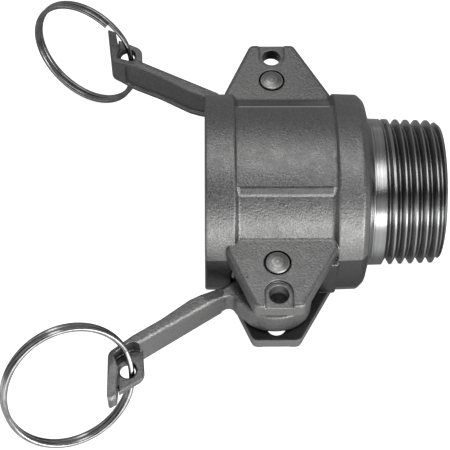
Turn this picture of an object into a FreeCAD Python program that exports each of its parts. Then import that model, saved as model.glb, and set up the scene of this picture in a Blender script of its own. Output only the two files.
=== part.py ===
import FreeCAD, Part
import math
import os

# 1 inch camlock coupler with a male taper thread, lying on its side.
# X runs along the waterway from the socket mouth (x = 0) to the thread end.  Z is up.
# The cam arms sit at +Y (rear) and -Y (front); both swing in the XY plane.
# Lengths are in mm, angles in degrees.  A "side" is +1 or -1 along the axis named.

os.makedirs("parts", exist_ok=True)

Vector = FreeCAD.Vector
ORIGIN = Vector(0, 0, 0)
X_AXIS = Vector(1, 0, 0)
Y_AXIS = Vector(0, 1, 0)
Z_AXIS = Vector(0, 0, 1)


# ---------------------------------------------------------------------------
# shared helpers
# ---------------------------------------------------------------------------

def arc(start, middle, end):
    return Part.Arc(start, middle, end).toShape()


def lines(*points):
    """Straight edges from each point to the next."""
    return [Part.makeLine(start, end) for start, end in zip(points, points[1:])]


def corner_wire(corners, place):
    """Closed wire through (u, v, radius) corners, each rounded by its radius."""
    count = len(corners)
    joints = []
    for i in range(count):
        u, v, radius = corners[i]
        corner = Vector(u, v, 0)
        if radius <= 0:
            joints.append((corner, None, corner))
            continue
        following = corners[(i + 1) % count]
        back = Vector(corners[i - 1][0], corners[i - 1][1], 0) - corner
        ahead = Vector(following[0], following[1], 0) - corner
        back.normalize()
        ahead.normalize()
        half_angle = back.getAngle(ahead) / 2.0
        cut = radius / math.tan(half_angle)
        inward = back + ahead
        inward.normalize()
        centre = corner + inward * (radius / math.sin(half_angle))
        joints.append((corner + back * cut, centre - inward * radius, corner + ahead * cut))
    edges = []
    for i in range(count):
        start, middle, end = joints[i]
        if middle is not None:
            edges.append(arc(place(start), place(middle), place(end)))
        next_start = joints[(i + 1) % count][0]
        if (next_start - end).Length > 1e-6:
            edges.append(Part.makeLine(place(end), place(next_start)))
    return Part.Wire(edges)


def prism_z(corners, z0, z1):
    """Corners are (x, y, radius)."""
    face = Part.Face(corner_wire(corners, lambda p: Vector(p.x, p.y, z0)))
    return face.extrude(Vector(0, 0, z1 - z0))


def prism_x(corners, x0, x1):
    """Corners are (y, z, radius)."""
    face = Part.Face(corner_wire(corners, lambda p: Vector(x0, p.x, p.y)))
    return face.extrude(Vector(x1 - x0, 0, 0))


def prism_y(corners, y0, y1):
    """Corners are (x, z, radius)."""
    face = Part.Face(corner_wire(corners, lambda p: Vector(p.x, y0, p.y)))
    return face.extrude(Vector(0, y1 - y0, 0))


def turned(corners):
    """Solid of revolution about X from (x, distance from the axis, radius) corners."""
    face = Part.Face(corner_wire(corners, lambda p: Vector(p.x, p.y, 0)))
    return face.revolve(ORIGIN, X_AXIS, 360)


def mirrored(corners):
    """Close a half outline with its mirror image, v turned to -v."""
    return corners + [(u, -v, radius) for u, v, radius in reversed(corners)]


def swept(spine, corners_or_wire, binormal=None):
    """Solid swept along a wire, held to a fixed binormal if one is given."""
    profile = corners_or_wire
    if isinstance(profile, list):
        profile = Part.makePolygon(profile + [profile[0]])
    pipe = Part.BRepOffsetAPI.MakePipeShell(spine)
    if binormal is None:
        pipe.setFrenetMode(False)
    else:
        pipe.setBiNormalMode(binormal)
    pipe.add(profile)
    pipe.build()
    pipe.makeSolid()
    return pipe.shape()


def edges_at(shape, *levels):
    """Edges that lie flat at one of the given z levels."""
    return [
        edge for edge in shape.Edges
        if any(abs(edge.BoundBox.ZMin - z) < 1e-4 and abs(edge.BoundBox.ZMax - z) < 1e-4
               for z in levels)
    ]


def soften(shape, edges, radius):
    """Round the given edges."""
    if not edges:
        return shape
    # guards a round the kernel cannot build: the shape then stays sharp
    try:
        rounded = shape.makeFillet(radius, edges)
        if rounded.isValid() and rounded.Volume > 0.5 * shape.Volume:
            return rounded
    except Exception:
        pass
    return shape


def largest_solid(shape):
    return max(shape.Solids, key=lambda solid: solid.Volume)


# ---------------------------------------------------------------------------
# turned body: outside, socket and waterway
# ---------------------------------------------------------------------------

TOTAL_LENGTH = 53.07
CORE_R = 5.0                 # hole in the blank, swallowed later by the waterway
MOUTH_BAND_R = 22.24
MOUTH_BAND_END = 6.5
WAIST_START = 7.3
WAIST_END = 27.8
WAIST_R = 20.9
BACK_BAND_START = 28.9
BACK_BAND_R = 22.33
BACK_BAND_END = 34.2
BACK_BAND_END_R = 22.15
SHOULDER_X = 35.55
SHOULDER_R = 20.85
CONE_END_X = 36.4
CONE_END_R = 17.6
NECK_X = 36.95
END_CHAMFER_X = 51.6
END_FACE_R = 15.15

SOCKET_R = 18.6
GROOVE_START = 26.4
GROOVE_R = 19.9
SOCKET_FLOOR = 33.0
WATERWAY_R = 12.7
EXIT_CHAMFER = 0.5           # 45 degree chamfer where the waterway leaves
MOUTH_OVERCUT = 2.0
EXIT_OVERCUT = 1.5

# crest line of the thread: taper 1 in 16 on diameter
THREAD_START = 39.9
THREAD_START_R = 16.65
THREAD_TAPER = 1.0 / 32.0


def crest(x):
    return THREAD_START_R - (x - THREAD_START) * THREAD_TAPER


def body_blank():
    return turned([
        (0.0, CORE_R, 0),
        (0.0, MOUTH_BAND_R, 0.6),
        (MOUTH_BAND_END, MOUTH_BAND_R, 0.45),
        (WAIST_START, WAIST_R, 0.7),
        (WAIST_END, WAIST_R, 0.7),
        (BACK_BAND_START, BACK_BAND_R, 0.45),
        (BACK_BAND_END, BACK_BAND_END_R, 1.0),
        (SHOULDER_X, SHOULDER_R, 0.9),
        (CONE_END_X, CONE_END_R, 0.35),
        (NECK_X, crest(NECK_X), 0.3),
        (END_CHAMFER_X, crest(END_CHAMFER_X), 0.1),
        (TOTAL_LENGTH, END_FACE_R, 0.15),
        (TOTAL_LENGTH, CORE_R, 0),
    ])


def inner_space():
    """Socket, gasket groove and waterway as one turned space."""
    end_x = TOTAL_LENGTH + EXIT_OVERCUT
    return turned([
        (-MOUTH_OVERCUT, 0.0, 0),
        (-MOUTH_OVERCUT, SOCKET_R, 0),
        (GROOVE_START, SOCKET_R, 0),
        (GROOVE_START, GROOVE_R, 0),
        (SOCKET_FLOOR, GROOVE_R, 0),
        (SOCKET_FLOOR, WATERWAY_R, 0),
        (TOTAL_LENGTH - EXIT_CHAMFER, WATERWAY_R, 0),
        (end_x, WATERWAY_R + EXIT_CHAMFER + EXIT_OVERCUT, 0),
        (end_x, 0.0, 0),
    ])


# ---------------------------------------------------------------------------
# taper thread
# ---------------------------------------------------------------------------

THREAD_PITCH = 2.309
THREAD_DEPTH = 1.5
THREAD_ROOT_HALF = 0.14
THREAD_FLANK = 29.5          # angle of each flank
THREAD_VALLEY_X = 40.27      # first valley where it crosses the +Z side
THREAD_CUT_START = THREAD_VALLEY_X + 6 * THREAD_PITCH    # beyond the end face
THREAD_FULL_TURNS = 5.66     # full depth up to here, then the groove runs out
THREAD_ALL_TURNS = 6.42
VEE_LIFT = 0.25              # how far the cutting vee stands proud of the crest
RUNOUT_SLACK = 0.01          # the run-out vee is this much smaller than the main one
RUNOUT_OVERLAP = 0.06        # turns shared by the two cuts
RUNOUT_CLIMB = 3.2
RUNOUT_POWER = 1.8
RUNOUT_STEPS = 22


def thread_section(radius, slack):
    """Corners of the vee as (distance along the axis, radius)."""
    flank_run = (THREAD_DEPTH + VEE_LIFT) * math.tan(math.radians(THREAD_FLANK))
    top = THREAD_ROOT_HALF + flank_run - slack
    root = THREAD_ROOT_HALF - slack
    root_r = radius - (THREAD_DEPTH - slack)
    top_r = radius + VEE_LIFT
    return [(-top, top_r), (-root, root_r), (root, root_r), (top, top_r)]


def thread_cutter():
    """Vee swept along a right-hand taper helix, from beyond the end face towards the neck."""
    start_r = crest(THREAD_CUT_START)
    taper_angle = math.degrees(math.atan(THREAD_TAPER))
    helix = Part.makeHelix(THREAD_PITCH, THREAD_FULL_TURNS * THREAD_PITCH, start_r, taper_angle)
    corners = [Vector(r, 0, along) for along, r in thread_section(start_r, 0.0)]
    cutter = swept(Part.Wire(helix.Edges), corners, Z_AXIS)
    cutter.rotate(ORIGIN, Y_AXIS, -90)
    cutter.translate(Vector(THREAD_CUT_START, 0, 0))
    return cutter


def runout_point(turns):
    """(x, radius, angle in radians) on the path of the run-out."""
    x = THREAD_CUT_START - THREAD_PITCH * turns
    radius = crest(x)
    if turns > THREAD_FULL_TURNS:
        radius += RUNOUT_CLIMB * (turns - THREAD_FULL_TURNS) ** RUNOUT_POWER
    return x, radius, 2 * math.pi * turns


def runout_cutter():
    """The same vee climbing out of the work over the last three quarters of a turn."""
    first = THREAD_FULL_TURNS - RUNOUT_OVERLAP
    points = []
    for i in range(RUNOUT_STEPS + 1):
        x, r, angle = runout_point(first + (THREAD_ALL_TURNS - first) * i / RUNOUT_STEPS)
        points.append(Vector(x, r * math.sin(angle), r * math.cos(angle)))
    path = Part.BSplineCurve()
    path.interpolate(points)
    x, r, angle = runout_point(first)
    corners = [
        Vector(x - along, q * math.sin(angle), q * math.cos(angle))
        for along, q in thread_section(r, RUNOUT_SLACK)
    ]
    return swept(Part.Wire([path.toShape()]), corners, X_AXIS)


# ---------------------------------------------------------------------------
# lugs and waist pads
# ---------------------------------------------------------------------------

# raised plain pads above and below the waist
PAD_R = 21.65
PAD_HALF_WIDTH = 10.6
PAD_SLOPE = 1.3              # each sloping flank runs out this far in y
PAD_OVERLAP = 0.5            # pads run this far into the bands at both ends
PAD_SINK = 0.6               # and this far into the waist
PAD_ROUND = 0.45

# lugs: two plates on each Y side, at +Z and -Z
LUG_OUTER = 10.1
LUG_INNER = 6.0
LUG_ROOT = 18.0
LUG_MOUTH_X = 4.6
LUG_THREAD_X = 29.0
LUG_TIP = 34.65
LUG_EDGE = 1.0
LUG_CLEAR_Y = 36.0           # cuts that open at the lug tip run to here
FACE_OVERCUT = 2.0           # cuts in the outer faces start this far outside
WAIST_FILLET = 0.9

HINGE_X = 15.54
HINGE_Y = 24.07
HINGE_R = 2.6
HINGE_SINK_R = 2.98
HINGE_SINK_DEPTH = 1.7
SAFETY_X = 15.7
SAFETY_Y = 31.3
SAFETY_R = 2.15
HOLE_HALF = 12.0             # the cross holes are cut over this half length
POCKET_HALF = 3.05
POCKET_DEPTH = 0.9

SLOT_X0 = 5.75
SLOT_X1 = 25.4
SLOT_CORNER = 1.6
SLOT_FROM_Y = 15.5
SLOT_TO_Y = 21.0
SLOT_SQUARE_Y = 19.3         # from here outwards the slot corners are square
STOP_X0 = SLOT_X1 - 1.5
STOP_X1 = 29.2
STOP_BASE = 19.5
STOP_TOP = 22.75
STOP_OVERLAP = 0.3


def lug_plate(z_side):
    """One upright plate of the +Y lug, its outer face rounded at the rim."""
    outline = [
        (LUG_MOUTH_X, LUG_ROOT, 0),
        (LUG_MOUTH_X, 20.9, 1.2),
        (10.65, LUG_TIP, 1.5),
        (20.85, LUG_TIP, 1.5),
        (28.8, 20.5, 0.8),
        (LUG_THREAD_X, 19.4, 0),
        (LUG_THREAD_X, LUG_ROOT, 0),
    ]
    low, high = sorted((LUG_INNER * z_side, LUG_OUTER * z_side))
    plate = prism_z(outline, low, high)
    rim = [e for e in edges_at(plate, LUG_OUTER * z_side) if e.BoundBox.YMax > LUG_ROOT + 0.01]
    return soften(plate, rim, LUG_EDGE)


def waist_fillet(z_side):
    """Concave strip where the outer face of a +Y lug plate runs into the waist."""
    centre_r = WAIST_R + WAIST_FILLET
    centre_z = LUG_OUTER + WAIST_FILLET
    centre_y = math.sqrt(centre_r ** 2 - centre_z ** 2)
    to_waist = WAIST_R / centre_r
    centre = Vector(0, centre_y, centre_z)
    towards = Vector(0, math.sqrt(WAIST_R ** 2 - LUG_OUTER ** 2), LUG_OUTER) - centre
    towards.normalize()
    start_x = WAIST_START - 0.3
    end_x = WAIST_END + 0.5

    def at(p):
        return Vector(start_x, p.y, p.z * z_side)

    on_lug = at(Vector(0, centre_y, LUG_OUTER))
    middle = at(centre + towards * WAIST_FILLET)
    on_waist = at(centre * to_waist)
    # two points buried in the metal
    under_waist = at(Vector(0, centre_y * to_waist - 0.5, centre_z * to_waist - 1.1))
    in_lug = at(Vector(0, centre_y - 0.3, LUG_OUTER - 0.8))
    section = [arc(on_lug, middle, on_waist)] + lines(on_waist, under_waist, in_lug, on_lug)
    return Part.Face(Part.Wire(section)).extrude(Vector(end_x - start_x, 0, 0))


def stop_block():
    """Low block that closes the slot between the +Y plates at the thread end."""
    half = LUG_INNER + STOP_OVERLAP
    return prism_z([
        (STOP_X0, STOP_BASE, 0),
        (STOP_X0, STOP_TOP, 0.5),
        (STOP_X1, STOP_TOP, 0.9),
        (STOP_X1, STOP_BASE, 0),
    ], -half, half)


def waist_pad(z_side):
    x0 = WAIST_START - PAD_OVERLAP
    x1 = WAIST_END + PAD_OVERLAP
    base_r = WAIST_R - PAD_SINK
    ring = turned([(x0, base_r, 0), (x0, PAD_R, 0), (x1, PAD_R, 0), (x1, base_r, 0)])
    foot = PAD_HALF_WIDTH + PAD_SLOPE
    skirt = foot + 0.9
    top_z = math.sqrt(PAD_R ** 2 - PAD_HALF_WIDTH ** 2) * z_side
    foot_z = math.sqrt(WAIST_R ** 2 - foot ** 2)
    skirt_z = (foot_z - 1.2) * z_side
    foot_z *= z_side
    above_z = 24.0 * z_side
    section = [
        (-skirt, skirt_z, 0),
        (skirt, skirt_z, 0),
        (foot, foot_z, 0),
        (PAD_HALF_WIDTH, top_z, 0),
        (PAD_HALF_WIDTH, above_z, 0),
        (-PAD_HALF_WIDTH, above_z, 0),
        (-PAD_HALF_WIDTH, top_z, 0),
        (-foot, foot_z, 0),
    ]
    pad = ring.common(prism_x(section, x0, x1))
    long_edges = []
    for edge in pad.Edges:
        box = edge.BoundBox
        at_side = abs(abs(box.YMax) - PAD_HALF_WIDTH) < 0.05 and box.YMax - box.YMin < 0.05
        if box.XMax - box.XMin > 15 and at_side:
            long_edges.append(edge)
    return soften(pad, long_edges, PAD_ROUND)


def cross_hole(x, y, radius):
    return Part.makeCylinder(radius, 2 * HOLE_HALF, Vector(x, y, -HOLE_HALF), Z_AXIS)


def hinge_sink(y_side, z_side):
    """Counterbore of a hinge hole in the outer face of a plate."""
    floor = Vector(HINGE_X, HINGE_Y * y_side, (LUG_OUTER - HINGE_SINK_DEPTH) * z_side)
    height = HINGE_SINK_DEPTH + FACE_OVERCUT
    return Part.makeCylinder(HINGE_SINK_R, height, floor, Vector(0, 0, z_side))


def safety_pocket(y_side, z_side):
    """Shallow pocket round a safety hole, open at the lug tip."""
    z_floor = (LUG_OUTER - POCKET_DEPTH) * z_side
    z_open = (LUG_OUTER + FACE_OVERCUT) * z_side
    height = abs(z_open - z_floor)
    low_z = min(z_floor, z_open)
    low_y = min(SAFETY_Y * y_side, LUG_CLEAR_Y * y_side)
    disc = Part.makeCylinder(
        POCKET_HALF, height, Vector(SAFETY_X, SAFETY_Y * y_side, low_z), Z_AXIS)
    box = Part.makeBox(
        2 * POCKET_HALF, LUG_CLEAR_Y - SAFETY_Y, height,
        Vector(SAFETY_X - POCKET_HALF, low_y, low_z))
    return disc.fuse(box)


def cam_slot(y_side, corner, from_y, to_y):
    outline = mirrored([(SLOT_X0, -LUG_INNER, corner), (SLOT_X1, -LUG_INNER, corner)])
    return prism_y(outline, from_y * y_side, to_y * y_side)


def lug_cuts(y_side):
    cuts = [
        cam_slot(y_side, SLOT_CORNER, SLOT_FROM_Y, SLOT_TO_Y),
        cam_slot(y_side, 0, SLOT_SQUARE_Y, LUG_CLEAR_Y),
        cross_hole(HINGE_X, HINGE_Y * y_side, HINGE_R),
        cross_hole(SAFETY_X, SAFETY_Y * y_side, SAFETY_R),
    ]
    for z_side in (1, -1):
        cuts.append(hinge_sink(y_side, z_side))
        cuts.append(safety_pocket(y_side, z_side))
    return cuts


def coupler_body():
    body = body_blank().cut(thread_cutter()).cut(runout_cutter())
    lug = [lug_plate(1), lug_plate(-1), waist_fillet(1), waist_fillet(-1), stop_block()]
    opposite_lug = [piece.mirror(ORIGIN, Y_AXIS) for piece in lug]
    body = body.fuse(lug + opposite_lug + [waist_pad(1), waist_pad(-1)])
    body = body.cut(lug_cuts(1) + lug_cuts(-1))
    body = body.cut(inner_space())
    return largest_solid(body.removeSplitter())


# ---------------------------------------------------------------------------
# gasket, hinge pins
# ---------------------------------------------------------------------------

GASKET_IN_R = 13.5
GASKET_OUT_R = GROOVE_R - 0.1
GASKET_X0 = GROOVE_START + 0.2
GASKET_X1 = SOCKET_FLOOR - 0.05

PIN_HALF = LUG_OUTER + 0.2   # half length without the domes
PIN_DOME = 0.25
PIN_CHAMFER = 0.18
PIN_FLAT_R = 0.35            # flat in the middle of each dome


def socket_gasket():
    return largest_solid(turned([
        (GASKET_X0, GASKET_IN_R, 0.6),
        (GASKET_X1, GASKET_IN_R, 0.6),
        (GASKET_X1, GASKET_OUT_R, 0.5),
        (GASKET_X0, GASKET_OUT_R, 0.5),
    ]))


def hinge_pin(y_side):
    """Plain pin with a shallow dome on each end, turned about Z."""
    tip_z = PIN_HALF + PIN_DOME
    rim_r = HINGE_R - PIN_CHAMFER
    side_z = PIN_HALF - PIN_CHAMFER
    mid_r = rim_r * 0.56
    mid_z = PIN_HALF + PIN_DOME * 0.72

    def at(r, z):
        return Vector(r, 0, z)

    edges = lines(at(0, -tip_z), at(0, tip_z), at(PIN_FLAT_R, tip_z))
    edges.append(arc(at(PIN_FLAT_R, tip_z), at(mid_r, mid_z), at(rim_r, PIN_HALF)))
    edges += lines(at(rim_r, PIN_HALF), at(HINGE_R, side_z),
                   at(HINGE_R, -side_z), at(rim_r, -PIN_HALF))
    edges.append(arc(at(rim_r, -PIN_HALF), at(mid_r, -mid_z), at(PIN_FLAT_R, -tip_z)))
    edges += lines(at(PIN_FLAT_R, -tip_z), at(0, -tip_z))
    pin = Part.Face(Part.Wire(edges)).revolve(ORIGIN, Z_AXIS, 360)
    pin.translate(Vector(HINGE_X, HINGE_Y * y_side, 0))
    return largest_solid(pin)


# ---------------------------------------------------------------------------
# cam arm, drawn with its pin at the origin and the handle along +x;
# +y is the inner side, which faces the waterway when the arm is open
# ---------------------------------------------------------------------------

ARM_BORE_R = HINGE_R + 0.06
ARM_DROP = 2.05              # both arms sit this far towards the lower (-Z) plates

LOBE_R = 8.93
HEEL_R = 5.3
HEEL_ANGLE = -168            # where the lobe meets the heel
HEAD_HALF = 3.5
HEAD_RIM = 0.8
HEAD_END_X = 14.0
FLANK_END = Vector(9.82, 1.15, 0)
NECK_BEND_R = 1.5
# lobe outline between flank and heel: (distance from the pin, angle)
LOBE_POINTS = [
    (9.33, -5), (9.26, -17), (9.12, -31), (8.98, -46), (LOBE_R, -62), (LOBE_R, -78),
    (8.96, -93), (8.95, -108), (8.5, -124), (7.6, -138), (6.3, -152),
]

BAR_OUTER = 3.05
BAR_INNER_NECK = 5.45
BAR_INNER_MID = 6.1
BAR_INNER_FAR = 5.4
BAR_INNER_TIP = 5.35
BAR_HALF = 5.15
BAR_HALF_NECK = 4.65
BAR_NECK_TO = 10.6
BAR_WIDE_FROM = 15.8
BAR_WIDEST_X = 33.5
BAR_NARROW_X = 37.6
BAR_MID_X = 18.5             # stations of the inner face
BAR_FAR_X = 26.5
BAR_RIM = 1.5
BAR_INNER_RIM = 0.35

LIP_ROOT = 38.4              # inner corner between bar and lip
LIP_BACK = 39.6              # outer corner of the lip
LIP_LEAN = 6.0               # the lip tip stands this much further out along x
LIP_TIP = -4.0

WEB_FROM = 32.1
WEB_TO = 41.9
WEB_OUTER = -2.7
WEB_BASE = BAR_OUTER + 0.6   # the web is sunk into the bar to here
WEB_HALF = 0.9
WEB_RIM = 0.3
EYE_X = 37.7
EYE_Y = 0.7
EYE_R = 1.7
EYE_FLARE = 0.4
SCOOP_FROM = 33.4
SCOOP_TO = 38.9
SCOOP_FLOOR = 4.4            # the bar is thinned to here on both sides of the web

PANEL_DEPTH = 0.4
PANEL_FROM = 13.2
PANEL_TO = 36.0
PANEL_RIM = 1.25


def polar(radius, degrees):
    angle = math.radians(degrees)
    return Vector(radius * math.cos(angle), radius * math.sin(angle), 0)


def arm_head():
    """Cam lobe, heel and the short neck that carries the bar."""
    heel_start = polar(HEEL_R, HEEL_ANGLE)
    heel_turn = math.radians(HEEL_ANGLE)
    lobe = Part.BSplineCurve()
    lobe.interpolate(
        Points=[FLANK_END] + [polar(r, angle) for r, angle in LOBE_POINTS] + [heel_start],
        InitialTangent=Vector(0, -1, 0),
        FinalTangent=Vector(math.sin(heel_turn), -math.cos(heel_turn), 0))
    bend_centre = Vector(FLANK_END.x + NECK_BEND_R, BAR_OUTER - NECK_BEND_R, 0)
    bend_mid = bend_centre + Vector(-NECK_BEND_R * 0.72, NECK_BEND_R * 0.694, 0)
    bend_end = Vector(bend_centre.x, BAR_OUTER, 0)
    edges = [lobe.toShape(), arc(heel_start, polar(HEEL_R, 140), polar(HEEL_R, 90))]
    edges += lines(Vector(0, HEEL_R, 0), Vector(HEAD_END_X, BAR_INNER_NECK, 0),
                   Vector(HEAD_END_X, BAR_OUTER, 0), bend_end)
    edges.append(arc(bend_end, bend_mid, FLANK_END))
    face = Part.Face(Part.Wire(edges))
    face.translate(Vector(0, 0, -HEAD_HALF))
    head = face.extrude(Vector(0, 0, 2 * HEAD_HALF))
    rims = [e for e in edges_at(head, -HEAD_HALF, HEAD_HALF)
            if e.BoundBox.XMax < HEAD_END_X - 0.1]
    return soften(head, rims, HEAD_RIM)


def outer_rounds():
    """What the rounded outward rims of the bar leave out; they fade towards the neck."""
    start_x = BAR_NECK_TO + 1.4
    run = 36.2 - start_x
    spread = (BAR_HALF - BAR_HALF_NECK) / (BAR_WIDEST_X - BAR_WIDE_FROM)
    arc_inset = BAR_RIM * (1 - math.sqrt(0.5))
    over = 1.0
    y = BAR_OUTER
    cuts = []
    for side in (1, -1):

        def at(dy, dz):
            return Vector(start_x, y + dy, (BAR_HALF_NECK + dz) * side)

        edges = [arc(at(0, -BAR_RIM), at(arc_inset, -arc_inset), at(BAR_RIM, 0))]
        edges += lines(at(BAR_RIM, 0), at(BAR_RIM, over), at(-over, over),
                       at(-over, -BAR_RIM), at(0, -BAR_RIM))
        cuts.append(Part.Face(Part.Wire(edges)).extrude(Vector(run, 0, run * spread * side)))
    return cuts


def inner_panel():
    """Long shallow panel sunk into the inner face of the bar."""
    outline = mirrored([
        (PANEL_FROM, -BAR_HALF_NECK + PANEL_RIM + 0.6, 1.0),
        (BAR_WIDE_FROM + 1.2, -BAR_HALF_NECK + PANEL_RIM, 2.0),
        (34.0, -BAR_HALF + PANEL_RIM, 6.0),
        (PANEL_TO, -BAR_HALF + PANEL_RIM + 0.6, 1.2),
    ])
    above_floor = prism_z([
        (PANEL_FROM - 1, BAR_INNER_NECK - PANEL_DEPTH, 0),
        (BAR_MID_X, BAR_INNER_MID - PANEL_DEPTH, 6.0),
        (BAR_FAR_X, BAR_INNER_FAR - PANEL_DEPTH, 12.0),
        (PANEL_TO + 1.5, BAR_INNER_TIP - PANEL_DEPTH, 0),
        (PANEL_TO + 1.5, 8.0, 0),
        (PANEL_FROM - 1, 8.0, 0),
    ], -6, 6)
    return prism_y(outline, 0, 9).common(above_floor)


def arm_bar():
    """Flat handle bar with its end lip, cut to the plan shape."""
    lip_end = LIP_BACK + LIP_LEAN
    side_view = [
        (11.0, BAR_OUTER + 1.0, 0),
        (12.3, BAR_OUTER, 0),
        (LIP_ROOT, BAR_OUTER, 0.7),
        (LIP_ROOT + LIP_LEAN - 1.0, LIP_TIP, 0.75),
        (lip_end, LIP_TIP, 0.9),
        (LIP_BACK, BAR_INNER_TIP, 2.0),
        (BAR_FAR_X, BAR_INNER_FAR, 12.0),
        (BAR_MID_X, BAR_INNER_MID, 6.0),
        (11.0, BAR_INNER_NECK - 0.03, 0),
    ]
    neck_half = HEAD_HALF - 0.02
    plan = mirrored([
        (9.0, -neck_half, 0),
        (BAR_NECK_TO, -neck_half, 3.0),
        (BAR_WIDE_FROM, -BAR_HALF_NECK, 5.0),
        (BAR_WIDEST_X, -BAR_HALF, 6.0),
        (BAR_NARROW_X, -BAR_HALF + 0.95, 3.0),
        (lip_end + 0.35, -BAR_HALF + 2.0, 0),
    ])
    # the lip narrows to a rounded tongue
    tongue = mirrored([(9.0, -6.0, 0), (3.0, -6.0, 0), (3.0, -4.0, 0), (LIP_TIP, -2.5, 2.0)])
    bar = prism_z(side_view, -7, 7)
    bar = bar.common(prism_y(plan, -8, 9))
    bar = bar.common(prism_x(tongue, 5.0, 50.0))
    bar = bar.cut(outer_rounds())
    # long edges of the inner face
    rims = []
    for edge in bar.Edges:
        box = edge.BoundBox
        along_bar = box.XMin > 12.0 and box.XMax < 40.0 and box.XMax - box.XMin > 1.0
        on_inner_face = box.YMin > 5.1 and box.YMax < 6.2
        if along_bar and on_inner_face and (box.ZMin > 3.0 or box.ZMax < -3.0):
            rims.append(edge)
    return soften(bar, rims, BAR_INNER_RIM).cut(inner_panel())


def eye_scoops():
    """Hollows in the bar on both sides of the web that give the ring room."""
    corners = [
        (SCOOP_FROM - 0.8, 1.5, 0),
        (SCOOP_FROM - 0.8, 2.6, 0),
        (SCOOP_FROM + 1.0, SCOOP_FLOOR, 1.6),
        (SCOOP_TO, SCOOP_FLOOR, 1.0),
        (SCOOP_TO + 0.6, 1.5, 0),
    ]
    return [prism_z(corners, WEB_HALF, 7.0), prism_z(corners, -7.0, -WEB_HALF)]


def arm_web():
    """Thin middle rib that carries the eye for the pull ring."""
    web = prism_z([
        (WEB_FROM, WEB_BASE, 0),
        (WEB_FROM + 3.4, WEB_OUTER, 2.5),
        (WEB_TO, WEB_OUTER, 0.0),
        (WEB_TO - 2.4, WEB_BASE, 0),
    ], -WEB_HALF, WEB_HALF)
    rims = []
    for edge in edges_at(web, -WEB_HALF, WEB_HALF):
        box = edge.BoundBox
        if box.YMax < BAR_OUTER + 0.7 and box.YMin < BAR_OUTER and box.XMin < WEB_TO - 0.1:
            rims.append(edge)
    return soften(web, rims, WEB_RIM)


def eye_cuts():
    """Eye through the web, flared at both faces."""
    hole = Part.makeCylinder(EYE_R, 20, Vector(EYE_X, EYE_Y, -10), Z_AXIS)
    near_web = Part.makeBox(
        8, 8, 2 * WEB_HALF + 2, Vector(EYE_X - 4, EYE_Y - 4, -WEB_HALF - 1))
    flares = [
        Part.makeCone(EYE_R + EYE_FLARE, EYE_R, EYE_FLARE,
                      Vector(EYE_X, EYE_Y, WEB_HALF * side), Vector(0, 0, -side))
        for side in (1, -1)
    ]
    return [hole.common(near_web)] + flares


def cam_arm():
    arm = arm_head().fuse([arm_bar().cut(eye_scoops()), arm_web()])
    bore = Part.makeCylinder(ARM_BORE_R, 20, Vector(0, 0, -10), Z_AXIS)
    arm = arm.cut([bore] + eye_cuts())
    return largest_solid(arm.removeSplitter())


def place_arm(arm, y_side, angle):
    placed = arm.copy()
    if y_side < 0:
        placed.rotate(ORIGIN, X_AXIS, 180)
    placed.rotate(ORIGIN, Z_AXIS, y_side * (180.0 - angle))
    placed.translate(Vector(HINGE_X, HINGE_Y * y_side, -ARM_DROP))
    return placed


def eye_point(y_side, angle):
    """Middle of the eye of a placed arm."""
    cosine = math.cos(math.radians(180.0 - angle))
    sine = math.sin(math.radians(180.0 - angle))
    x = HINGE_X + EYE_X * cosine - EYE_Y * sine
    y = (HINGE_Y + EYE_X * sine + EYE_Y * cosine) * y_side
    return Vector(x, y, -ARM_DROP)


# ---------------------------------------------------------------------------
# split pull ring: two coils of round wire
# ---------------------------------------------------------------------------

RING_R = 14.03
WIRE_R = 0.64
COIL_STEP = 2 * WIRE_R + 0.06
JOG_HALF = 26.0              # the wire crosses between coils within this angle of the eye
JOG_POINTS = 9


def pull_ring(eye, normal, out, ends):
    """Two coils with one jog; the jog passes through the arm's eye."""
    normal = Vector(normal)
    normal.normalize()
    out = out - normal * out.dot(normal)
    out.normalize()
    to_eye = out * -1.0
    across = normal.cross(to_eye)
    centre = eye + out * RING_R
    half_step = COIL_STEP / 2.0

    def at(degrees, lift):
        angle = math.radians(degrees)
        in_plane = to_eye * (RING_R * math.cos(angle)) + across * (RING_R * math.sin(angle))
        return centre + in_plane + normal * lift

    def coil(start, end, lift):
        return arc(at(start, lift), at((start + end) / 2.0, lift), at(end, lift))

    def tangent(degrees):
        angle = math.radians(degrees)
        return to_eye * (-math.sin(angle)) + across * math.cos(angle)

    jog_points = []
    for i in range(JOG_POINTS):
        share = i / (JOG_POINTS - 1.0)
        eased = share * share * (3 - 2 * share)
        jog_points.append(at(-JOG_HALF + 2 * JOG_HALF * share, half_step - COIL_STEP * eased))
    jog = Part.BSplineCurve()
    jog.interpolate(Points=jog_points, InitialTangent=tangent(-JOG_HALF),
                    FinalTangent=tangent(JOG_HALF))
    first = -360.0 + ends[0]
    last = 360.0 - ends[1]
    first_mid = (first - JOG_HALF) / 2.0
    last_mid = (last + JOG_HALF) / 2.0
    path = Part.Wire([
        coil(first, first_mid, half_step),
        coil(first_mid, -JOG_HALF, half_step),
        jog.toShape(),
        coil(JOG_HALF, last_mid, -half_step),
        coil(last_mid, last, -half_step),
    ])
    wire_circle = Part.makeCircle(WIRE_R, at(first, half_step), tangent(first))
    return largest_solid(swept(path, Part.Wire([wire_circle])))


# ---------------------------------------------------------------------------
# both sides and export
# ---------------------------------------------------------------------------

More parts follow.
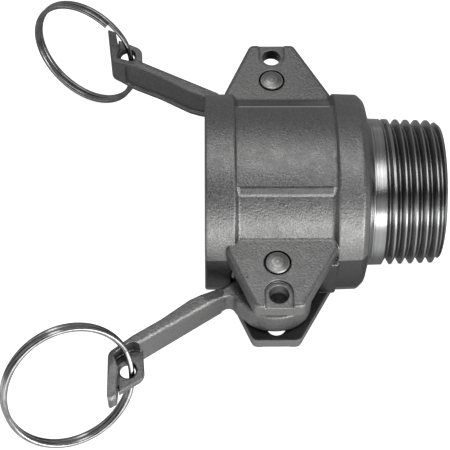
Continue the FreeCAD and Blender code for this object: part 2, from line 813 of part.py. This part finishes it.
# angle: how far the handle stands from the -X direction
# normal, out: ring normal, and the direction from the eye to the ring's centre
# shift: how far the wire hangs off the middle of the eye
# ends: how far short of the eye each wire end stops, in degrees round the ring
SIDES = {
    "rear": dict(
        y_side=1,
        angle=25.9,
        normal=Vector(-0.5018, -0.8456, 0.182),
        out=Vector(-0.8301, 0.4116, -0.3762),
        shift=Vector(0.77, -0.09, -0.02),
        ends=(42.0, 42.0),
    ),
    "front": dict(
        y_side=-1,
        angle=32.8,
        normal=Vector(0.3803, -0.7748, 0.505),
        out=Vector(-0.9246, -0.3318, 0.1872),
        shift=Vector(0.79, 0.17, 0.18),
        ends=(24.0, 21.0),
    ),
}

pieces = {"coupler_body": coupler_body(), "socket_gasket": socket_gasket()}
arm = cam_arm()
for name, spec in SIDES.items():
    y_side = spec["y_side"]
    angle = spec["angle"]
    wire_point = eye_point(y_side, angle) + spec["shift"]
    pieces[name + "_hinge_pin"] = hinge_pin(y_side)
    pieces[name + "_cam_arm"] = place_arm(arm, y_side, angle)
    pieces[name + "_pull_ring"] = pull_ring(
        wire_point, spec["normal"], spec["out"], spec["ends"])

for name, shape in pieces.items():
    shape.exportStep("parts/" + name + ".step")
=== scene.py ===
# A cast stainless cam-arm coupler with its bore along X: socket mouth at x = 0, turned
# neck and tapered thread towards +X. The hinge pins run along Z. One open arm with its
# pull ring lies at the front (-Y), the other at the rear (+Y), over a pale floor.
import math
from functools import reduce

import bpy
from mathutils import Matrix, Vector


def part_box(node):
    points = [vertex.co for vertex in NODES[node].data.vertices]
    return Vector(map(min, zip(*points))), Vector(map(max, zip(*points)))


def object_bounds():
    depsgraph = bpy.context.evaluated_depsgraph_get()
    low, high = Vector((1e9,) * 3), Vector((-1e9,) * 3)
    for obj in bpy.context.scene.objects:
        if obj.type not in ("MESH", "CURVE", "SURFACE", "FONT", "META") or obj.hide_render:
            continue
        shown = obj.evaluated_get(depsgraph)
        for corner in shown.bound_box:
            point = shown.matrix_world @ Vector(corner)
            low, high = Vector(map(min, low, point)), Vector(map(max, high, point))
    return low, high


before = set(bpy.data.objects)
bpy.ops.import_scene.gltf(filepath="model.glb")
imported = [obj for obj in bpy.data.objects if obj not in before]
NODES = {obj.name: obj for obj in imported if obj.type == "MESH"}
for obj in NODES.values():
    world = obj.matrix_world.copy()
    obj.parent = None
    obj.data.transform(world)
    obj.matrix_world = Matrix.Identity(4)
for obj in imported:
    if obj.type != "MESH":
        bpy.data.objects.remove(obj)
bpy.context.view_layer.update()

MM = 0.001

# Measures of the body, in mm
CUT_X = 37.35                # where turning stops on the raw casting
THREAD_X = 39.9              # start of the thread's taper
THREAD_CREST = 16.65         # crest radius at THREAD_X
THREAD_TAPER = 1.0 / 32.0    # loss of crest radius per length
THREAD_FADE = (39.6, 40.2)   # x over which the thread's duller finish sets in


def grey(value, warm=0.0):
    """A grey colour; warm lifts red and lowers blue."""
    return (value * (1.0 + warm), value, value * (1.0 - warm), 1.0)


# ---------------------------------------------------------------- node helpers
class Graph:
    """Builds the nodes of a material or world; methods return output sockets."""

    def __init__(self, owner):
        owner.use_nodes = True
        self.tree = owner.node_tree
        self.tree.nodes.clear()

    def node(self, kind, inputs=None, **props):
        """Add a node. Inputs take a socket or a value; None leaves the default."""
        node = self.tree.nodes.new(kind)
        for key, value in props.items():
            setattr(node, key, value)
        for key, value in (inputs or {}).items():
            if isinstance(value, bpy.types.NodeSocket):
                self.tree.links.new(value, node.inputs[key])
            elif value is not None:
                node.inputs[key].default_value = value
        return node

    def math(self, operation, a, b=None):
        return self.node("ShaderNodeMath", {0: a, 1: b}, operation=operation).outputs[0]

    def mul(self, *values):
        return reduce(lambda a, b: self.math("MULTIPLY", a, b), values)

    def add(self, *values):
        return reduce(lambda a, b: self.math("ADD", a, b), values)

    def sub(self, a, b):
        return self.math("SUBTRACT", a, b)

    def radius(self, a, b):
        return self.math("SQRT", self.add(self.mul(a, a), self.mul(b, b)))

    def ramp(self, value, over, to=(0.0, 1.0)):
        """Smooth step from to[0] at over[0] to to[1] at over[1]."""
        return self.node("ShaderNodeMapRange", {
            "Value": value, "From Min": over[0], "From Max": over[1],
            "To Min": to[0], "To Max": to[1],
        }, clamp=True, interpolation_type="SMOOTHSTEP").outputs["Result"]

    def ramp_mm(self, value, over, to=(0.0, 1.0)):
        return self.ramp(value, (over[0] * MM, over[1] * MM), to)

    def band_mm(self, value, rise, fall):
        return self.mul(self.ramp_mm(value, rise), self.ramp_mm(value, fall))

    def near_mm(self, value, centre, over):
        """Ramp on the distance of value from centre."""
        return self.ramp_mm(self.math("ABSOLUTE", self.sub(value, centre * MM)), over)

    def mix_value(self, mask, a, b):
        return self.node("ShaderNodeMix", {0: mask, 2: a, 3: b}, data_type="FLOAT").outputs[0]

    def mix_colour(self, mask, a, b):
        return self.node("ShaderNodeMix", {0: mask, 6: a, 7: b}, data_type="RGBA").outputs[2]

    def tint(self, colour, mask, amount, paint):
        """Lay paint over colour where mask is 1, with opacity amount."""
        return self.mix_colour(self.mul(mask, amount), colour, paint)

    def noise(self, vector, scale, detail, rough=0.55, distortion=0.0):
        return self.node("ShaderNodeTexNoise", {
            "Vector": vector, "Scale": scale, "Detail": detail,
            "Roughness": rough, "Distortion": distortion,
        }).outputs["Fac"]

    def position(self):
        return self.node("ShaderNodeTexCoord").outputs["Object"]

    def xyz(self, vector):
        return tuple(self.node("ShaderNodeSeparateXYZ", {0: vector}).outputs)

    def vector(self, x, y=None):
        return self.node("ShaderNodeCombineXYZ", {0: x, 1: y}).outputs[0]

    def camera_ray(self):
        return self.node("ShaderNodeLightPath").outputs["Is Camera Ray"]

    def crevice(self, reach_mm, over):
        """1 in corners and gaps that little light reaches, 0 on open faces."""
        shade = self.node("ShaderNodeAmbientOcclusion", {"Distance": reach_mm * MM}, samples=8)
        return self.ramp(shade.outputs["AO"], over)

    def rounded(self, radius):
        """Normal that rounds the sharp edges."""
        return self.node("ShaderNodeBevel", {"Radius": radius}, samples=6).outputs[0]

    def edges(self, rounded):
        """1 where the rounded normal leaves the face normal, 0 on open faces."""
        face = self.node("ShaderNodeNewGeometry").outputs["Normal"]
        dot = self.node("ShaderNodeVectorMath", {0: rounded, 1: face}, operation="DOT_PRODUCT")
        return self.ramp(dot.outputs["Value"], over=(0.995, 0.80))

    def bump(self, height, strength, depth_mm, normal=None):
        return self.node("ShaderNodeBump", {
            "Strength": strength, "Distance": depth_mm * MM, "Height": height, "Normal": normal,
        }).outputs["Normal"]

    def principled(self, colour, rough, normal=None, metallic=None, specular=None):
        return self.node("ShaderNodeBsdfPrincipled", {
            "Base Color": colour, "Roughness": rough, "Metallic": metallic,
            "Specular IOR Level": specular, "Normal": normal,
        }).outputs["BSDF"]

    def output(self, surface, kind="ShaderNodeOutputMaterial"):
        self.node(kind, {"Surface": surface})


def new_material(name):
    material = bpy.data.materials.new(name)
    return material, Graph(material)


# ---------------------------------------------------------------- cast stainless
def cast_finish(t, position, tone):
    """Colour, roughness and height of a blasted investment casting."""
    big = t.noise(position, scale=60.0, detail=3.0, rough=0.5)
    mid = t.noise(position, scale=420.0, detail=4.0, rough=0.6)
    fine = t.noise(position, scale=3000.0, detail=2.0, rough=0.6)
    peel = t.noise(position, scale=1900.0, detail=2.0, rough=0.5, distortion=0.2)
    stain = t.ramp(t.noise(position, scale=110.0, detail=4.0, rough=0.6), over=(0.38, 0.70))
    # pits appear only in patches
    cells = t.node("ShaderNodeTexVoronoi", {"Vector": position, "Scale": 230.0})
    patches = t.ramp(t.noise(position, scale=95.0, detail=1.0), over=(0.56, 0.66))
    pit = t.mul(t.ramp(cells.outputs["Distance"], over=(0.11, 0.03)), patches)

    colour = t.mix_colour(t.ramp(big, over=(0.3, 0.7)),
                          grey(tone * 0.90, warm=0.004), grey(tone * 1.08, warm=0.012))
    # mask, opacity, shade relative to tone, warmth
    for mask, amount, shade, warm in (
        (stain, 0.35, 0.86, 0.02),
        (t.ramp(fine, over=(0.45, 0.62)), 0.55, 1.42, 0.01),
        (t.ramp(fine, over=(0.46, 0.34)), 0.5, 0.66, 0.01),
        (pit, 0.75, 0.22, 0.0),
    ):
        colour = t.tint(colour, mask, amount, grey(tone * shade, warm))
    rough = t.add(t.ramp(mid, over=(0.3, 0.7), to=(0.36, 0.48)),
                  t.ramp(fine, over=(0.35, 0.65), to=(-0.04, 0.04)))
    # each layer weighted by its relief
    height = t.add(t.mul(peel, 0.9), t.mul(fine, 0.70), t.mul(mid, 0.6))
    return colour, rough, t.sub(height, t.mul(pit, 1.6))


def body_painted_light(t, colour, tone, x, y, z, r):
    """Painted shade between the lug plates, and painted shade and highlights on the pad's
    sloped ends.
    """
    # painted shade between the lug plates, beside the arm heads
    between = t.mul(
        t.ramp_mm(t.math("ABSOLUTE", z), over=(6.15, 6.04)),
        t.ramp_mm(t.math("ABSOLUTE", y), over=(17.5, 19.5)),
        t.ramp_mm(r, over=(20.3, 20.6)),
    )
    colour = t.tint(colour, between, amount=0.80, paint=grey(tone * 0.22))
    waist = t.mul(t.band_mm(x, rise=(7.4, 7.7), fall=(27.7, 27.4)),
                  t.ramp_mm(r, over=(20.6, 20.8)))
    front = t.mul(y, -1.0)
    # painted shade on the two slopes and along the front foot, painted highlights along the
    # pad's two edges: mask, opacity, shade relative to tone
    for mask, amount, shade in (
        (t.band_mm(front, rise=(10.55, 10.75), fall=(11.9, 11.7)), 0.85, 0.38),  # front slope
        (t.band_mm(y, rise=(10.6, 10.85), fall=(12.6, 12.0)), 0.60, 0.40),       # rear slope
        (t.near_mm(front, centre=10.6, over=(0.24, 0.06)), 0.75, 0.12),          # front foot
        (t.near_mm(front, centre=11.75, over=(0.30, 0.05)), 0.50, 1.5),          # front rim
        (t.near_mm(y, centre=10.35, over=(0.42, 0.12)), 0.85, 3.0),              # rear rim
    ):
        colour = t.tint(colour, t.mul(mask, waist), amount, grey(tone * shade, warm=0.004))
    return colour


def turned_finish(t, x, r):
    """Colour, roughness and height of the turned faces."""
    # rings along X; on end faces they run along the radius
    along = t.vector(t.mul(x, 1.0), t.mul(r, 0.6))
    lines = t.noise(along, scale=6500.0, detail=2.0, rough=0.6)
    broad = t.noise(along, scale=900.0, detail=2.0, rough=0.5)
    colour = t.mix_colour(t.ramp(broad, over=(0.3, 0.7)),
                          grey(0.32, warm=-0.006), grey(0.44, warm=-0.004))
    colour = t.tint(colour, t.ramp(lines, over=(0.4, 0.7)), amount=0.4, paint=grey(0.28))
    # painted shade in the thread valleys; the crests keep the lighter colour
    crest = t.sub(THREAD_CREST * MM, t.mul(t.sub(x, THREAD_X * MM), THREAD_TAPER))
    valley_shade = t.mul(
        t.ramp_mm(t.sub(crest, r), over=(0.35, 1.45)),
        t.ramp_mm(x, over=(39.6, 40.6)),
        t.ramp_mm(r, over=(14.6, 14.9)),
    )
    colour = t.tint(colour, valley_shade, amount=0.72, paint=grey(0.10))
    colour = t.tint(colour, t.ramp_mm(x, over=THREAD_FADE), amount=0.35, paint=grey(0.20))
    # base roughness, plus that of the lines and of the thread
    rough = t.add(0.16, t.mul(t.ramp(lines, over=(0.3, 0.7)), 0.08),
                  t.mul(t.ramp_mm(x, over=THREAD_FADE), 0.04))
    return colour, rough, t.add(t.mul(lines, 0.18), t.mul(broad, 0.05))


def cast_material(name, tone, machined):
    """Casting of brightness tone; machined adds the body's turned faces and its painted shade
    and highlights.
    """
    material, t = new_material(name)
    position = t.position()
    colour, rough, height = cast_finish(t, position, tone)
    edge_radius = 0.42 * MM
    bump_mm = 0.085
    if machined:
        x, y, z = t.xyz(position)
        r = t.radius(y, z)
        # the cut's border wanders a little along X
        wobble = t.mul(t.sub(t.noise(position, scale=160.0, detail=2.0), 0.5), 0.9 * MM)
        neck = t.ramp_mm(t.add(x, wobble), over=(CUT_X - 0.1, CUT_X + 0.1))
        bore = t.ramp_mm(r, over=(20.02, 19.95))
        mouth = t.ramp_mm(x, over=(0.28, 0.05))
        turned = t.math("MAXIMUM", neck, t.math("MAXIMUM", bore, mouth))
        edge_radius = t.mix_value(turned, edge_radius, 0.05 * MM)
    else:
        bump_mm *= 1.5
    rounded = t.rounded(edge_radius)

    # painted shade in corners and gaps: reach in mm, openness range from open to shaded,
    # opacity, shade relative to tone
    for reach_mm, over, amount, shade in (
        (1.3, (0.80, 0.30), 0.82, 0.10),
        (5.0, (0.50, 0.14), 0.75, 0.15),
        (0.7, (0.94, 0.62), 0.55, 0.30),
    ):
        colour = t.tint(colour, t.crevice(reach_mm, over), amount, grey(tone * shade))
    # edges: a little smoother where rubbed, and a painted highlight lightens every bevelled
    # edge, concave corners too, in patches
    edge_patches = t.ramp(t.noise(position, scale=500.0, detail=3.0), over=(0.25, 0.6), to=(0.35, 1.0))
    rubbed_and_highlit_edges = t.mul(t.edges(rounded), edge_patches)
    colour = t.tint(colour, rubbed_and_highlit_edges, amount=0.75, paint=grey(tone * 2.3, warm=0.004))
    rough = t.mix_value(t.mul(rubbed_and_highlit_edges, 0.6), rough, 0.33)

    if machined:
        colour = body_painted_light(t, colour, tone, x, y, z, r)
        turned_colour, turned_rough, turned_height = turned_finish(t, x, r)
        colour = t.mix_colour(turned, colour, turned_colour)
        rough = t.mix_value(turned, rough, turned_rough)
        height = t.mix_value(turned, height, turned_height)
        # dark line where the cutter stopped on the casting
        step = t.near_mm(t.add(x, wobble), centre=CUT_X, over=(0.16, 0.02))
        colour = t.tint(colour, step, amount=0.6, paint=grey(0.10))
    normal = t.bump(height, strength=0.9, depth_mm=bump_mm, normal=rounded)
    t.output(t.principled(colour, rough, normal, metallic=1.0))
    return material


# ---------------------------------------------------------------- other materials
def pin_material(name, centre_x, centre_y):
    """Pin along Z with turning rings about its axis."""
    material, t = new_material(name)
    position = t.position()
    x, y, z = t.xyz(position)
    r = t.radius(t.sub(x, centre_x), t.sub(y, centre_y))
    across = t.vector(r)
    rings = t.noise(across, scale=4200.0, detail=2.0, rough=0.6)
    broad = t.noise(across, scale=1500.0, detail=1.0, rough=0.5)
    blotch = t.noise(position, scale=900.0, detail=3.0, rough=0.6)
    # painted highlight round the edge of each domed end
    rim_highlight = t.mul(t.ramp_mm(r, over=(2.15, 2.4)),
                t.ramp_mm(t.math("ABSOLUTE", z), over=(9.4, 10.0)))
    colour = t.mix_colour(t.ramp(broad, over=(0.35, 0.65)),
                          grey(0.22, warm=0.006), grey(0.36, warm=0.012))
    # mask, opacity, paint
    # mask, opacity, paint; the third and fourth rows are painted highlights, round the end's
    # edge and at its centre
    for mask, amount, paint in (
        (t.ramp(rings, over=(0.42, 0.66)), 0.5, grey(0.13, warm=0.01)),
        (t.ramp(blotch, over=(0.5, 0.7)), 0.35, grey(0.16, warm=0.02)),
        (rim_highlight, 0.55, grey(0.50, warm=0.01)),
        (t.ramp_mm(r, over=(0.42, 0.2)), 0.45, grey(0.7)),  # bright centre spot
    ):
        colour = t.tint(colour, mask, amount, paint)
    height = t.add(t.mul(rings, 0.6), t.mul(blotch, 0.35))
    normal = t.bump(height, strength=0.6, depth_mm=0.04, normal=t.rounded(0.15 * MM))
    rough = t.ramp(blotch, over=(0.3, 0.7), to=(0.26, 0.40))
    t.output(t.principled(colour, rough, normal, metallic=1.0))
    return material


def wire_material(name):
    """Bright wire with haze and fine scratches."""
    material, t = new_material(name)
    position = t.position()
    haze = t.noise(position, scale=380.0, detail=4.0, rough=0.6)
    scratch = t.noise(position, scale=3200.0, detail=2.0, rough=0.7, distortion=1.2)
    colour = t.mix_colour(t.ramp(haze, over=(0.35, 0.7)), grey(0.24, warm=-0.004), grey(0.36))
    colour = t.tint(colour, t.ramp(scratch, over=(0.55, 0.72)), amount=0.4,
                    paint=grey(0.16, warm=0.01))
    rough = t.ramp(haze, over=(0.3, 0.7), to=(0.13, 0.24))
    normal = t.bump(scratch, strength=0.25, depth_mm=0.02)
    t.output(t.principled(colour, rough, normal, metallic=1.0))
    return material


def rubber_material(name):
    """Black rubber with dust and grain."""
    material, t = new_material(name)
    position = t.position()
    dust = t.noise(position, scale=300.0, detail=4.0, rough=0.6)
    grain = t.noise(position, scale=2400.0, detail=3.0, rough=0.6)
    colour = t.mix_colour(t.ramp(dust, over=(0.4, 0.75)), grey(0.018), grey(0.045, warm=0.02))
    rough = t.ramp(grain, over=(0.3, 0.7), to=(0.52, 0.7))
    normal = t.bump(grain, strength=0.4, depth_mm=0.04, normal=t.rounded(0.3 * MM))
    t.output(t.principled(colour, rough, normal, specular=0.45))
    return material


def dress(material, *names):
    for name in names:
        materials = NODES[name].data.materials
        materials.clear()
        materials.append(material)


dress(cast_material("cast_stainless_body", tone=0.215, machined=True), "coupler_body")
dress(cast_material("cast_stainless_arm", tone=0.20, machined=False),
      "rear_cam_arm", "front_cam_arm")
dress(wire_material("bright_ring_wire"), "rear_pull_ring", "front_pull_ring")
dress(rubber_material("black_gasket_rubber"), "socket_gasket")
for side in ("rear", "front"):
    pin = side + "_hinge_pin"
    low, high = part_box(pin)
    centre = [(low[axis] + high[axis]) / 2 for axis in (0, 1)]
    dress(pin_material("turned_pin_" + side, *centre), pin)


# ---------------------------------------------------------------- floor
FLOOR_HALF = 3.0
FLOOR_GAP = 0.0005  # below the lowest point of the coupler


def floor_material():
    material, t = new_material("pale_floor")
    seen = t.camera_ray()
    matte = t.principled(t.mix_colour(seen, grey(0.45), grey(0.86)), rough=0.9, specular=0.0)
    place = t.node("ShaderNodeNewGeometry")
    y = t.xyz(place.outputs["Position"])[1]
    # for other rays the floor glows in front and is dim between the open arms
    front = t.ramp_mm(y, over=(-20.0, -50.0), to=(0.02, 0.62))
    glow = t.node("ShaderNodeEmission", {
        "Color": grey(1.0), "Strength": t.mix_value(seen, front, 0.80),
    }).outputs[0]
    lit = t.node("ShaderNodeAddShader", {0: matte, 1: glow}).outputs[0]
    # seen from below, the floor is clear
    clear = t.node("ShaderNodeBsdfTransparent").outputs[0]
    backfacing = place.outputs["Backfacing"]
    t.output(t.node("ShaderNodeMixShader", {0: backfacing, 1: lit, 2: clear}).outputs[0])
    return material


floor_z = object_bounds()[0][2] - FLOOR_GAP
corners = [(x * FLOOR_HALF, y * FLOOR_HALF, floor_z)
           for x, y in ((-1, -1), (1, -1), (1, 1), (-1, 1))]
mesh = bpy.data.meshes.new("studio_floor")
mesh.from_pydata(corners, [], [(0, 1, 2, 3)])
floor = bpy.data.objects.new("studio_floor", mesh)
bpy.context.scene.collection.objects.link(floor)
floor.data.materials.append(floor_material())


# ---------------------------------------------------------------- studio light
WORLD_STRENGTH = 2.0
# degrees round X (0 front horizon, 90 overhead, 180 rear), brightness
WORLD_STOPS = [
    (-180, 0.50), (-150, 0.50), (-90, 0.35), (-30, 0.45), (-8, 0.9), (0, 1.60),
    (17, 1.60), (24, 0.55), (44, 0.36), (52, 0.08), (80, 0.07), (87, 0.90),
    (98, 0.90), (107, 0.28), (125, 0.24), (145, 0.34), (165, 0.34), (180, 0.50),
]


def build_world():
    world = bpy.data.worlds.new("studio")
    bpy.context.scene.world = world
    t = Graph(world)
    _, y, z = t.xyz(t.node("ShaderNodeTexCoord").outputs["Generated"])
    degrees = t.mul(t.math("ARCTAN2", z, t.mul(y, -1.0)), 180.0 / math.pi)
    turn = t.math("DIVIDE", t.add(degrees, 180.0), 360.0)
    bands = t.node("ShaderNodeValToRGB", {0: turn})
    stops = bands.color_ramp.elements
    stops.remove(stops[1])
    for i, (angle, brightness) in enumerate(WORLD_STOPS):
        place = (angle + 180.0) / 360.0
        stop = stops[0] if i == 0 else stops.new(place)
        stop.position = place
        level = brightness / WORLD_STRENGTH
        stop.color = (level, level, level * 1.01, 1)
    colour = t.mix_colour(t.camera_ray(), bands.outputs[0], grey(0.5))
    background = t.node("ShaderNodeBackground", {"Color": colour, "Strength": WORLD_STRENGTH})
    t.output(background.outputs[0], kind="ShaderNodeOutputWorld")


build_world()

# name, place, aim, size (m), power (W)
for name, place, aim, size, power in (
    ("key_soft", (0.40, -0.85, 0.25), (0.0, 0.0, 0.0), (1.0, 0.35), 3.0),
    ("side_soft", (0.75, -0.75, 0.10), (0.02, -0.02, 0.0), (0.5, 0.35), 3.0),
    ("top_soft", (0.1, 0.05, 0.9), (0.0, 0.0, 0.0), (1.2, 0.2), 2.0),
):
    data = bpy.data.lights.new(name, "AREA")
    data.shape = "RECTANGLE"
    data.size, data.size_y = size
    data.energy = power
    light = bpy.data.objects.new(name, data)
    light.location = place
    light.rotation_euler = (Vector(aim) - Vector(place)).to_track_quat("-Z", "Y").to_euler()
    bpy.context.scene.collection.objects.link(light)


# ---------------------------------------------------------------- camera
CAMERA_PLACE = Vector((0.00030334, -0.17072552, 0.27310063))
CAMERA_RIGHT = Vector((0.9999059495, -0.0095603865, 0.0098331652))
CAMERA_UP = Vector((0.0032050462, 0.8600198572, 0.5102505002))
CAMERA_FORWARD = Vector((0.0133349094, 0.5101709951, -0.8599696134))

data = bpy.data.cameras.new("camera")
data.sensor_width = 36.0
data.lens = 112.8393
data.clip_start = 0.01
data.clip_end = 20.0
camera = bpy.data.objects.new("camera", data)
bpy.context.scene.collection.objects.link(camera)
turn = Matrix((CAMERA_RIGHT, CAMERA_UP, -CAMERA_FORWARD)).transposed()
camera.matrix_world = Matrix.Translation(CAMERA_PLACE) @ turn.to_4x4()
bpy.context.scene.camera = camera
bpy.context.scene.view_settings.view_transform = "Standard"
bpy.context.scene.view_settings.look = "None"
